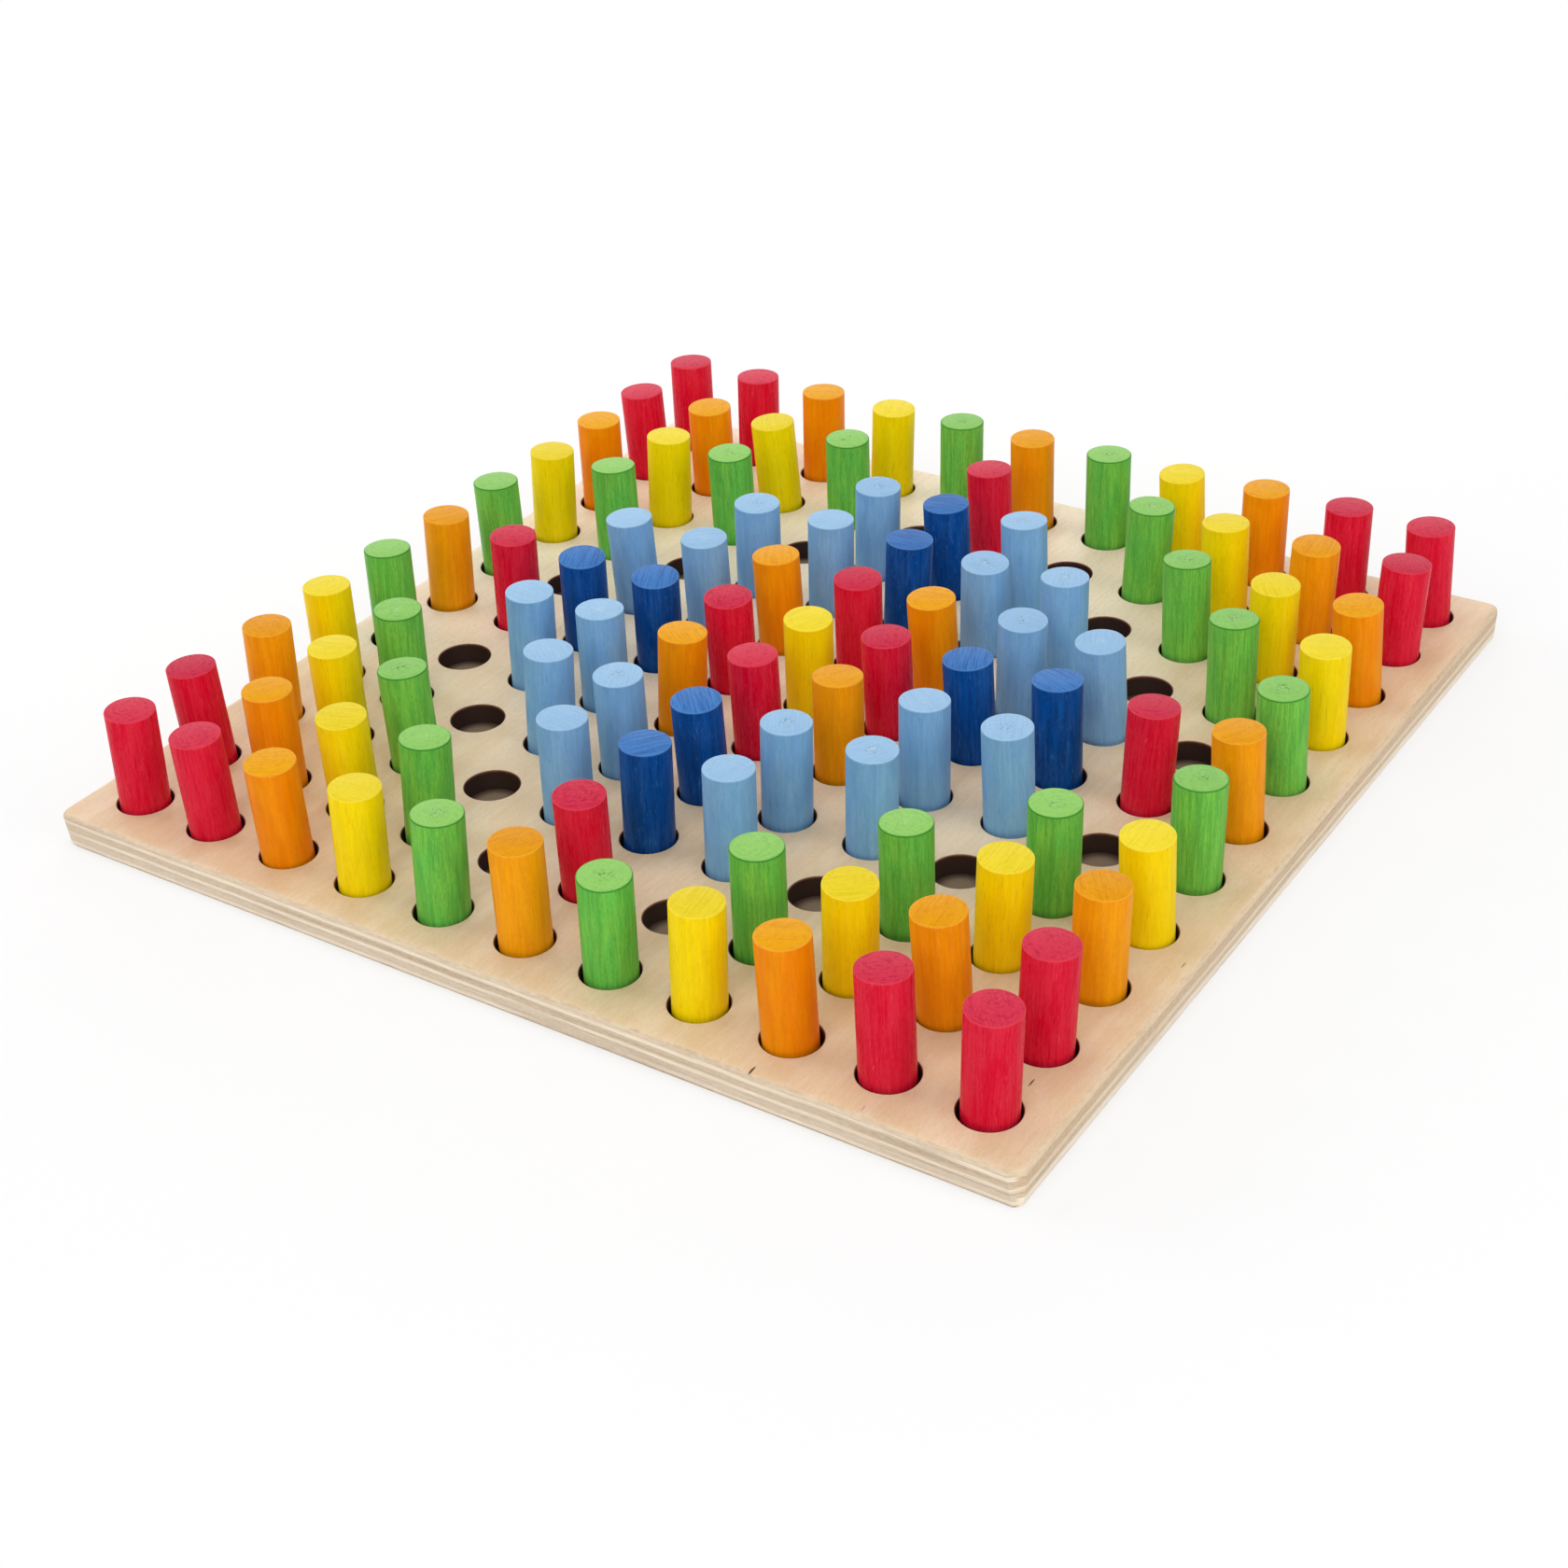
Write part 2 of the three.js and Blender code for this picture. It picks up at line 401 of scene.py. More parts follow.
# %% Colours of a stained peg
SIDE_MARKINGS = {"Patches": "pale", "Streaks": "streak", "Lines": "line", "Flecks": "pale"}
END_MARKINGS = ("Saw Marks", "Rings", "Specks")
DYE_SPREAD = 0.4
CRACK = "#16220f"
BARE_PITH = "#dfe4d2"


def share_of(tree, group, marking, stain):
    return product(tree, out(group, marking), stain.get(marking, 0.0))


def dyed_side(tree, grain, seed, stain):
    paler = product(tree, seed, stain["Spread"])
    colours = mix_of(tree, paler, paint(stain["side"]), paint(stain["pale"]))
    for marking, tone in SIDE_MARKINGS.items():
        colours = mix_of(tree, share_of(tree, grain, marking, stain), colours, paint(stain[tone]))
    return colours


def dyed_end(tree, cut, seed, stain):
    dyed = product(tree, seed, DYE_SPREAD)
    for marking in END_MARKINGS:
        dyed = math_of(tree, "ADD", dyed, share_of(tree, cut, marking, stain))
    colours = mix_of(tree, dyed, paint(stain["end"]), paint(stain["end_dark"]))
    colours = mix_of(tree, share_of(tree, cut, "Pale Pith", stain), colours, paint(BARE_PITH))
    return mix_of(tree, share_of(tree, cut, "Cracks", stain), colours, paint(CRACK)), dyed


print("markings on a side:", ", ".join(SIDE_MARKINGS), "and on an end:", ", ".join(END_MARKINGS))

# %% [markdown]
# The material reads the peg's own point and seed, which its mesh carries as attributes. The height along
# the peg tells the side from the ends, and a thin band between them is the broken edge. The finish is
# satin: streaks are rougher than the sealed wood round them, and the sawn end is rougher still.

# %% Stained wood materials
PEG_HALF = PEG_LENGTH / 2
END_DEPTH = 0.25 * MM
EDGE_DEPTH = 0.9 * MM
SATIN = 0.06
SIDE_ROUGHNESS = 0.22
STREAK_ROUGHNESS = 0.12
END_ROUGHNESS = 0.14
CRACK_DEPTH = 2.0
WOOD_BUMP = {"Strength": 0.35, "Distance": 0.12 * MM}


def principled(material):
    material.use_nodes = True
    return material.node_tree, material.node_tree.nodes["Principled BSDF"]


def wood_relief(tree, grain, cut, at_end, dyed):
    along = math_of(tree, "SUBTRACT", 1.0, out(grain, "Lines"))
    cracks = product(tree, out(cut, "Cracks"), CRACK_DEPTH)
    across = math_of(tree, "SUBTRACT", dyed, cracks)
    relief = mix_of(tree, at_end, along, across, "FLOAT")
    return out(add(tree, "ShaderNodeBump", {"Height": relief, **WOOD_BUMP}))


def stained_wood(colour, stain):
    material = bpy.data.materials.new(f"{colour}_stain")
    tree, shader = principled(material)
    point = out(add(tree, "ShaderNodeAttribute", {}, attribute_name="peg_point"), "Vector")
    seed = out(add(tree, "ShaderNodeAttribute", {}, attribute_name="peg_seed"), "Fac")
    own = {"Point": point, "Seed": seed}
    grain = add(tree, "ShaderNodeGroup", own, node_tree=DOWEL_GRAIN)
    cut = add(tree, "ShaderNodeGroup", own, node_tree=SAWN_END)

    height = height_of(tree, point)
    from_middle = math_of(tree, "ABSOLUTE", math_of(tree, "SUBTRACT", height, PEG_HALF))
    at_end = soft_step(tree, from_middle, PEG_HALF - END_DEPTH, PEG_HALF)
    near_end = soft_step(tree, from_middle, PEG_HALF - EDGE_DEPTH, PEG_HALF - END_DEPTH)
    end_colours, dyed = dyed_end(tree, cut, seed, stain)
    colours = mix_of(tree, at_end, dyed_side(tree, grain, seed, stain), end_colours)
    # Edge tone: worn dye plus a painted highlight where it is paler, gathered dye on green.
    rim_dye_and_highlight = product(tree, near_end, share_of(tree, cut, "Rim", stain))
    colours = mix_of(tree, rim_dye_and_highlight, colours, paint(stain["edge"]))
    tree.links.new(colours, shader.inputs["Base Color"])

    shader.inputs["Specular IOR Level"].default_value = SATIN
    satin = math_of(tree, "MULTIPLY_ADD", out(grain, "Streaks"), STREAK_ROUGHNESS, SIDE_ROUGHNESS)
    rough = math_of(tree, "MULTIPLY_ADD", at_end, END_ROUGHNESS, satin)
    tree.links.new(rough, shader.inputs["Roughness"])
    tree.links.new(wood_relief(tree, grain, cut, at_end, dyed), shader.inputs["Normal"])
    return material


stained = {colour: stained_wood(colour, stain) for colour, stain in STAINS.items()}
print("materials:", ", ".join(material.name for material in stained.values()))

# %% [markdown]
# ## Plywood
# The board is two pieces of plywood glued together. Its face is one pale veneer with the grain running
# front to back: faint streaks, soft mottling, fine pores and a few short dark flecks. A paler patch left
# of the middle and towards the back is painted light: it stands in for the brighter light and sheen there.
# Towards the front and right the face keeps its warmer tone. An image of veneer would have to be fitted
# to each face, and noise with cells stretched along the grain fits them all.

# %% Shader group for a veneer face
VENEER_MARKINGS = {
    "Streaks": {"cell": (1.3 * MM, 40 * MM, 20 * MM), "detail": 4.0, "roughness": 0.6, "step": (0.3, 0.7)},
    "Mottle": {"cell": (9 * MM, 26 * MM, 30 * MM), "detail": 4.0, "roughness": 0.6, "step": (0.34, 0.68)},
    "Pores": {"cell": (0.5 * MM, 1.8 * MM, 2 * MM), "detail": 3.0, "roughness": 0.6, "step": (0.46, 0.7)},
    "Flecks": {"cell": (0.6 * MM, 4 * MM, 3 * MM), "detail": 1.0, "step": (0.72, 0.8)},
}
# Centre and reach of the painted light: a paler patch for the brighter light and sheen of the back left.
PAINTED_LIGHT_CENTRE = (-80 * MM, 125 * MM, 0)
PAINTED_LIGHT_INNER = 0.11
PAINTED_LIGHT_OUTER = 0.26
REACH_PATH = {"cell": (60 * MM, 140 * MM, 90 * MM)}
REACH_WANDER = 0.12


# Mask of the painted light patch on the face, strongest round its centre.
def painted_light_part(group, point):
    offset = vector_of(group, "ABSOLUTE", vector_of(group, "SUBTRACT", point, PAINTED_LIGHT_CENTRE))
    parts = add(group, "ShaderNodeSeparateXYZ", {0: offset})
    square = math_of(group, "MAXIMUM", out(parts, "X"), out(parts, "Y"))
    uneven = product(group, noise_about_zero(group, point, **REACH_PATH), REACH_WANDER)
    return soft_step(group, math_of(group, "ADD", square, uneven), PAINTED_LIGHT_OUTER, PAINTED_LIGHT_INNER)


def veneer_face():
    names = [*VENEER_MARKINGS, "Middle"]
    group, start, end = shader_group("Veneer face", {"Point": "NodeSocketVector"}, names)
    point = out(start, "Point")
    marks = markings_of(group, point, VENEER_MARKINGS)
    finish_group(group, end, {**marks, "Middle": painted_light_part(group, point)})
    return group


VENEER_FACE = veneer_face()

# %% [markdown]
# The edge of the board shows the layers, pale where the fibres lie along the edge and darker where they
# end in it, so the front and back edges differ from the left and right ones. The group puts out how high
# a point lies in the board, with a noise that lets the lines wander as real glue lines do, which pair of
# edges it is on, the fine fibres along the layers and two softer changes of tone.

# %% Shader group for the layers of the edge
PLY_MARKINGS = {
    "Fibres": {"cell": (15 * MM, 15 * MM, 0.22 * MM), "detail": 3.0, "roughness": 0.65,
               "step": (0.34, 0.66)},
    "Mottle": {"cell": (3 * MM, 3 * MM, 0.9 * MM), "detail": 3.0, "roughness": 0.6, "step": (0.36, 0.64)},
    "Tone": {"cell": (90 * MM, 90 * MM, 2.4 * MM), "detail": 1.0, "step": (0.5, 0.74)},
}
LAYER_PATH = {"cell": (34 * MM, 34 * MM, 40 * MM), "detail": 3.0}
LAYER_WANDER = 0.07
CORNER_BLEND = 2 * MM


def ply_edge():
    names = ["Height", "Side", *PLY_MARKINGS]
    group, start, end = shader_group("Ply edge", {"Point": "NodeSocketVector"}, names)
    point = out(start, "Point")
    x, y, z = add(group, "ShaderNodeSeparateXYZ", {0: point}).outputs
    shift = product(group, noise_about_zero(group, point, **LAYER_PATH), LAYER_WANDER)
    height = math_of(group, "MULTIPLY_ADD", z, 1 / BOARD_THICKNESS, shift)
    sideways = math_of(group, "SUBTRACT", math_of(group, "ABSOLUTE", x), math_of(group, "ABSOLUTE", y))
    side = soft_step(group, sideways, -CORNER_BLEND, CORNER_BLEND)
    marks = markings_of(group, point, PLY_MARKINGS)
    finish_group(group, end, {"Height": height, "Side": side, **marks})
    return group


PLY_EDGE = ply_edge()

# %% [markdown]
# A colour ramp over the height gives the layers. The ramps list them from the underside up, as a share
# of the board's thickness. The cream lines are thin and the tan ones wide. The lowest stop of the front
# and back edges is a dark band of painted shade along the rounded foot. The uppermost stop is where
# sanding the edge round cut through the face veneer and shows the layer below it.

# %% Plywood layers
CREAM = "#f9ead4"
PALE_TAN = "#dccab3"
CORE_TAN = "#d2bda0"
SANDED = "#dac5a8"
# A dark band of painted shade along the foot of the front and back edges.
PAINTED_SHADE_FOOT = "#b0906c"
SIDE_FOOT = "#fff3e2"
SIDE_TAN = "#d4be9e"
SIDE_CREAM = "#efdabb"
SIDE_CORE = "#ccae8a"
SIDE_SANDED = "#e0c7a4"
FRONT_LAYERS = [(0.0, PAINTED_SHADE_FOOT), (0.08, CREAM), (0.19, PALE_TAN), (0.43, CREAM), (0.53, CORE_TAN),
                (0.75, CREAM), (0.86, SANDED)]
SIDE_LAYERS = [(0.0, SIDE_FOOT), (0.27, SIDE_TAN), (0.44, SIDE_CREAM), (0.58, SIDE_CORE),
               (0.86, SIDE_SANDED)]
LAYER_BLUR = 0.012
EDGE_TONES = {"Tone": (0.4, "#8e6c4e"), "Fibres": (0.45, "#b09472"), "Mottle": (0.2, "#f6ead8")}


def layer_ramp(tree, height, layers):
    ramp = add(tree, "ShaderNodeValToRGB", {"Fac": height})
    stops = ramp.color_ramp.elements
    stops[0].position, stops[0].color = layers[0][0], paint(layers[0][1])
    stops.remove(stops[1])
    for (_, below), (level, colour) in zip(layers, layers[1:]):
        stops.new(level - LAYER_BLUR).color = paint(below)
        stops.new(level + LAYER_BLUR).color = paint(colour)
    return out(ramp, "Color")


def marked(tree, group, colours, tones):
    for marking, (share, tone) in tones.items():
        amount = product(tree, out(group, marking), share)
        colours = mix_of(tree, amount, colours, paint(tone))
    return colours


def edge_colours(tree, edge):
    front = layer_ramp(tree, out(edge, "Height"), FRONT_LAYERS)
    sides = layer_ramp(tree, out(edge, "Height"), SIDE_LAYERS)
    return marked(tree, edge, mix_of(tree, out(edge, "Side"), front, sides), EDGE_TONES)


print("layers on the front edge:", len(FRONT_LAYERS), "and on the side edges:", len(SIDE_LAYERS))

# %% [markdown]
# ## Faces and hole walls
# Four small bark marks lie in the face near the front and right edges, long with the grain. Each is an
# ellipse by arithmetic, because there are too few of them for a pattern.

# %% Face and bark marks
FACE = "#dec39d"
FACE_STREAK = "#c4a480"
# The first tone is painted light, a paler patch for the brighter light and sheen of the back left.
FACE_TONES = {"Middle": (0.9, "#f3e6cc"), "Mottle": (0.3, "#f2e6d2"), "Streaks": (0.14, FACE_STREAK),
              "Pores": (0.28, FACE_STREAK), "Flecks": (0.5, "#9c7654")}
BARK = "#5a3a22"
BARK_EDGE = (1.0, 0.5)
BARK_MARKS = [
    {"place": (215.6 * MM, -189 * MM), "size": (0.9 * MM, 6 * MM), "share": 1.0},
    {"place": (124 * MM, -234 * MM), "size": (1.4 * MM, 7 * MM), "share": 1.0},
    {"place": (231.9 * MM, -97.5 * MM), "size": (0.9 * MM, 5 * MM), "share": 0.6},
    {"place": (170.6 * MM, -232 * MM), "size": (0.6 * MM, 5 * MM), "share": 0.45},
]


def bark_marks(tree, point, colours):
    for mark in BARK_MARKS:
        width, length = mark["size"]
        offset = vector_of(tree, "SUBTRACT", point, (*mark["place"], plate_high.z))
        scaled = vector_of(tree, "DIVIDE", offset, (width / 2, length / 2, MM))
        inside = soft_step(tree, vector_of(tree, "LENGTH", scaled), *BARK_EDGE)
        amount = product(tree, inside, mark["share"])
        colours = mix_of(tree, amount, colours, paint(BARK))
    return colours


print("bark marks:", len(BARK_MARKS))

# %% [markdown]
# The holes were drilled fast, and the bit scorched their walls: reddish brown at the mouth, nearly black
# below. The material finds the walls by arithmetic, because every hole is the same distance from its
# cell's middle. The floor of a hole is the base plate's face, painted darker with soot and painted shade,
# darkest by the wall.

# %% Hole walls and floors
HALF_CELL = (0.5, 0.5, 0)
SCORCHED_MOUTH = "#7a4230"
SCORCHED_WALL = "#38241d"
WALL_REACH = (HOLE_RADIUS + 0.55 * MM, HOLE_RADIUS + 0.1 * MM)
SCORCH_DEPTH = (0.4 * MM, 1.6 * MM)
SCORCH_RAGGED = 0.4 * MM
# Floors of the holes: soot and painted shade, darkest by the wall.
SOOT_AND_SHADE = "#8f7862"
SOOT_AND_SHADE_BY_WALL = "#4a3a2e"
HOLE_FLOOR_REACH = (HOLE_RADIUS + 1 * MM, HOLE_RADIUS)
HOLE_FLOOR_HEIGHT = (base_high.z - MM, base_high.z - 0.5 * MM)
WALL_SHADE = (0.55 * HOLE_RADIUS, HOLE_RADIUS)


def from_hole_axis(tree, point):
    flat = vector_of(tree, "MULTIPLY", point, (1, 1, 0))
    cell = vector_of(tree, "ADD", vector_of(tree, "DIVIDE", flat, (PITCH, PITCH, 1)), HALF_CELL)
    inside = vector_of(tree, "SUBTRACT", vector_of(tree, "FRACTION", cell), HALF_CELL)
    return product(tree, vector_of(tree, "LENGTH", inside), PITCH)


def scorched(tree, edge, point, height, colours):
    on_wall = soft_step(tree, from_hole_axis(tree, point), *WALL_REACH)
    depth = math_of(tree, "SUBTRACT", plate_high.z, height)
    burnt = math_of(tree, "MULTIPLY_ADD", out(edge, "Mottle"), SCORCH_RAGGED, depth)
    darker = soft_step(tree, burnt, *SCORCH_DEPTH)
    wall = mix_of(tree, darker, paint(SCORCHED_MOUTH), paint(SCORCHED_WALL))
    return mix_of(tree, on_wall, colours, wall)


# Paints the hole floors darker with soot and painted shade, darkest by the wall.
def sooty_shaded_floor(tree, point, height, colours):
    reach = from_hole_axis(tree, point)
    in_hole = soft_step(tree, reach, *HOLE_FLOOR_REACH)
    on_top = soft_step(tree, height, *HOLE_FLOOR_HEIGHT)
    soot_and_shade_near_wall = soft_step(tree, reach, *WALL_SHADE)
    soot_and_shade_tone = mix_of(tree, soot_and_shade_near_wall, paint(SOOT_AND_SHADE), paint(SOOT_AND_SHADE_BY_WALL))
    return mix_of(tree, product(tree, in_hole, on_top), colours, soot_and_shade_tone)


print(f"holes are scorched darkest below {SCORCH_DEPTH[1] / MM:.1f} mm")

# %% [markdown]
# Both plates are one recipe: the face where a point lies close to the face's height, the layers
# elsewhere. The line between them is ragged, as sanded veneer is. The upper plate adds bark marks and
# scorched walls, the lower one the floors of its holes, darkened with soot and painted shade.

# %% Plywood materials
FACE_DEPTH = 0.12 * MM
PLY_ROUGHNESS = 0.42
PLY_STREAK_ROUGHNESS = 0.14
PLY_BUMP = {"Strength": 0.25, "Distance": 0.1 * MM}


def plate_material(name, face_height, perforated):
    material = bpy.data.materials.new(name)
    tree, shader = principled(material)
    point = out(add(tree, "ShaderNodeTexCoord", {}), "Object")
    height = height_of(tree, point)
    edge = add(tree, "ShaderNodeGroup", {"Point": point}, node_tree=PLY_EDGE)
    face = add(tree, "ShaderNodeGroup", {"Point": point}, node_tree=VENEER_FACE)
    from_face = math_of(tree, "ABSOLUTE", math_of(tree, "SUBTRACT", height, face_height))
    ragged = math_of(tree, "MULTIPLY_ADD", out(edge, "Mottle"), -2 * FACE_DEPTH, from_face)
    on_face = soft_step(tree, ragged, 2 * FACE_DEPTH, FACE_DEPTH)
    face_colours = marked(tree, face, paint(FACE), FACE_TONES)
    colours = mix_of(tree, on_face, edge_colours(tree, edge), face_colours)
    if perforated:
        colours = scorched(tree, edge, point, height, bark_marks(tree, point, colours))
    else:
        colours = sooty_shaded_floor(tree, point, height, colours)
    tree.links.new(colours, shader.inputs["Base Color"])

    streaks = out(face, "Streaks")
    rough = math_of(tree, "MULTIPLY_ADD", streaks, PLY_STREAK_ROUGHNESS, PLY_ROUGHNESS)
    tree.links.new(rough, shader.inputs["Roughness"])
    relief = mix_of(tree, on_face, out(edge, "Fibres"), streaks, "FLOAT")
    bump = add(tree, "ShaderNodeBump", {"Height": relief, **PLY_BUMP})
    tree.links.new(out(bump), shader.inputs["Normal"])
    return material


perforated_ply = plate_material("perforated_plywood", plate_high.z, True)
bottom_ply = plate_material("bottom_plywood", base_low.z, False)
print("materials:", perforated_ply.name, "and", bottom_ply.name)

# %% [markdown]
# ## Meshes from rings
# A peg, a hole and the rim of a plate are all made in one way: closed rings of points, each joined to
# the next by a band of faces. If the rings run counter-clockwise from above and go from the underside
# outwards, up and back in over the top, every face points out of the wood.

# %% Ring helpers
SMOOTH_BELOW = math.radians(35)


def loft(bm, rings, capped):
    loops = [[bm.verts.new(point) for point in ring] for ring in rings]
    for lower, upper in zip(loops, loops[1:]):
        for k, corner in enumerate(lower):
            after = (k + 1) % len(lower)
            bm.faces.new((corner, lower[after], upper[after], upper[k]))
    if capped:
        bm.faces.new(reversed(loops[0]))
        bm.faces.new(loops[-1])


def mesh_of(name, bm):
    mesh = bpy.data.meshes.new(name)
    bm.to_mesh(mesh)
    bm.free()
    mesh.shade_smooth()
    mesh.set_sharp_from_angle(angle=SMOOTH_BELOW)
    return mesh


def object_of(name, mesh):
    made = bpy.data.objects.new(name, mesh)
    bpy.context.scene.collection.objects.link(made)
    return made


def circle(radius, sides):
    turns = [2 * math.pi * k / sides for k in range(sides)]
    return [(radius * math.cos(turn), radius * math.sin(turn)) for turn in turns]


def quarter_round(radius, steps, first_angle):
    angles = [first_angle + math.pi / 2 * k / steps for k in range(steps + 1)]
    return [(radius * math.cos(angle), radius * math.sin(angle)) for angle in angles]


print("edges up to", round(math.degrees(SMOOTH_BELOW)), "degrees are shaded smooth")

# %% [markdown]
# ## One peg
# A peg is a lathe shape: flat ends, a straight side and edges that were broken with sandpaper. It needs
# few sides, because smooth shading hides the facets. Its points are kept in the attribute `peg_point`
# before the peg is moved anywhere.

# %% Make one peg
PEG_SIDES = 32
PEG_EDGE = 0.5 * MM
FOOT_STEPS = 1
HEAD_STEPS = 3


def peg_profile():
    inner = PEG_RADIUS - PEG_EDGE
    low = [(inner + x, PEG_EDGE + z) for x, z in quarter_round(PEG_EDGE, FOOT_STEPS, -math.pi / 2)]
    top = PEG_LENGTH - PEG_EDGE
    high = [(inner + x, top + z) for x, z in quarter_round(PEG_EDGE, HEAD_STEPS, 0)]
    return low + high


def one_peg():
    bm = bmesh.new()
    loft(bm, [[(x, y, z) for x, y in circle(radius, PEG_SIDES)] for radius, z in peg_profile()], True)
    mesh = mesh_of("one_peg", bm)
    own = mesh.attributes.new("peg_point", "FLOAT_VECTOR", "POINT")
    own.data.foreach_set("vector", [part for vertex in mesh.vertices for part in vertex.co])
    return object_of("one_peg", mesh)


pattern_peg = one_peg()
print("one peg has", len(pattern_peg.data.polygons), "faces")

# %% [markdown]
# ## Standing the pegs in their holes
# No real peg stands quite straight: the rods are cut a little out of square, and the holes are wider
# than the pegs. A loop could place the pegs, but one tree of Geometry Nodes does it for all pieces, with
# its sizes as named inputs. `grow` runs such a tree on an object, by the identifiers of its sockets, and
# puts the plain mesh that comes out in the object's place.

# %% Geometry Nodes helpers
def geometry_tree(name, inputs):
    tree = bpy.data.node_groups.new(name, "GeometryNodeTree")
    tree.is_modifier = True
    for title, kind in {"Geometry": "NodeSocketGeometry", **inputs}.items():
        tree.interface.new_socket(title, in_out="INPUT", socket_type=kind)
    tree.interface.new_socket("Geometry", in_out="OUTPUT", socket_type="NodeSocketGeometry")
    return tree, tree.nodes.new("NodeGroupInput"), tree.nodes.new("NodeGroupOutput")


def object_in(tree, source):
    info = add(tree, "GeometryNodeObjectInfo", {"Object": source, "As Instance": True})
    return out(info, "Geometry")


def finish_tree(tree, end, geometry, finish):
    values = {"Geometry": geometry, "Material": finish}
    finished = out(add(tree, "GeometryNodeSetMaterial", values))
    tree.links.new(finished, end.inputs["Geometry"])
    print("tree:", tree.name, "with", len(tree.nodes), "nodes")


def grow(piece, tree, values):
    modifier = piece.modifiers.new(tree.name, "NODES")
    modifier.node_group = tree
    for item in tree.interface.items_tree:
        if item.in_out == "INPUT" and item.name in values:
            modifier[item.identifier] = values[item.name]
    graph = bpy.context.evaluated_depsgraph_get()
    mesh = bpy.data.meshes.new_from_object(
        piece.evaluated_get(graph), preserve_all_data_layers=True, depsgraph=graph)
    piece.modifiers.remove(modifier)
    finish = mesh.materials[-1]
    mesh.materials.clear()
    mesh.materials.append(finish)
    piece.data = mesh
    mesh.name = piece.name
    return piece


# %% [markdown]
# The tree puts a peg on each place, shifts it in its hole and leans it, all by seeded random numbers.
# The lean is a shear, so the foot stays flat on the floor of the hole, and the top is cut square to the
# leaning rod and stays below the height of a straight one.

# %% Tree that stands pegs
LEAN_SEED = 1000
NUMBER_SEED = 2000


def stored(tree, geometry, name, kind, value):
    values = {"Geometry": geometry, "Name": name, "Value": value}
    return out(add(tree, "GeometryNodeStoreNamedAttribute", values, data_type=kind, domain="INSTANCE"))


def named_vector(tree, name):
    return out(add(tree, "GeometryNodeInputNamedAttribute", {"Name": name}, data_type="FLOAT_VECTOR"))


def random_in_square(tree, reach, seed):
    corner = out(add(tree, "ShaderNodeCombineXYZ", {"X": reach, "Y": reach}))
    opposite = vector_of(tree, "MULTIPLY", corner, (-1, -1, 0))
    limits = {"Min": opposite, "Max": corner, "Seed": seed}
    return out(add(tree, "FunctionNodeRandomValue", limits, data_type="FLOAT_VECTOR"), "Value")


def pegs_on_places(tree, start):
    seed = out(start, "Seed")
    shift = random_in_square(tree, out(start, "Shift"), seed)
    shifted = {"Geometry": out(start, "Geometry"), "Offset": shift}
    places = out(add(tree, "GeometryNodeSetPosition", shifted))
    spread = {"Points": places, "Instance": object_in(tree, out(start, "Peg"))}
    pegs = out(add(tree, "GeometryNodeInstanceOnPoints", spread))
    lean = random_in_square(tree, out(start, "Lean"), math_of(tree, "ADD", seed, LEAN_SEED))
    pegs = stored(tree, pegs, "lean", "FLOAT_VECTOR", lean)
    number_seed = {"Seed": math_of(tree, "ADD", seed, NUMBER_SEED)}
    number = add(tree, "FunctionNodeRandomValue", number_seed, data_type="FLOAT")
    pegs = stored(tree, pegs, "peg_seed", "FLOAT", out(number, "Value"))
    return out(add(tree, "GeometryNodeRealizeInstances", {"Geometry": pegs}))


def leaning(tree, start):
    lean = named_vector(tree, "lean")
    own = named_vector(tree, "peg_point")
    height = height_of(tree, own)
    sideways = out(add(tree, "ShaderNodeVectorMath", {0: lean, "Scale": height}, operation="SCALE"))
    lowest = product(tree, vector_of(tree, "LENGTH", lean), out(start, "Peg Radius"))
    slope = math_of(tree, "ADD", vector_of(tree, "DOT_PRODUCT", lean, own), lowest)
    share = math_of(tree, "DIVIDE", height, out(start, "Peg Length"))
    drop = product(tree, product(tree, slope, share), -1.0)
    down = out(add(tree, "ShaderNodeCombineXYZ", {"Z": drop}))
    return vector_of(tree, "ADD", sideways, down)


def peg_stand():
    tree, start, end = geometry_tree("Stand pegs", {
        "Peg": "NodeSocketObject", "Stain": "NodeSocketMaterial", "Seed": "NodeSocketInt",
        "Shift": "NodeSocketFloat", "Lean": "NodeSocketFloat",
        "Peg Radius": "NodeSocketFloat", "Peg Length": "NodeSocketFloat"})
    moved = {"Geometry": pegs_on_places(tree, start), "Offset": leaning(tree, start)}
    pegs = out(add(tree, "GeometryNodeSetPosition", moved))
    finish_tree(tree, end, pegs, out(start, "Stain"))
    return tree


STAND_PEGS = peg_stand()

# %% [markdown]
# The CAD node of a sub-part says where its pegs stand: the points of its top faces, rounded to the hole
# grid. Each sub-part is its own body, which lifts out of the board, so each gets a mesh of its own.

# %% Stand every peg
PEG_SHIFT = 0.45 * MM
PEG_LEAN = 0.045


def peg_places(node):
    tops = [v.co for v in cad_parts[node].data.vertices if v.co.z > peg_high.z - MM]
    return sorted({(round(top.x / PITCH), round(top.y / PITCH)) for top in tops})


def stand(node, number):
    points = bpy.data.meshes.new(f"{node}_places")
    points.from_pydata([(i * PITCH, j * PITCH, peg_low.z) for i, j in peg_places(node)], [], [])
    colour = next(name for name in STAINS if node.startswith(f"{name}_"))
    values = {"Peg": pattern_peg, "Stain": stained[colour], "Seed": number,
              "Shift": PEG_SHIFT, "Lean": PEG_LEAN,
              "Peg Radius": PEG_RADIUS, "Peg Length": PEG_LENGTH}
    piece = grow(object_of(f"{node}_wood", points), STAND_PEGS, values)
    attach(piece, node)
    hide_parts(node)
    return len(points.vertices)


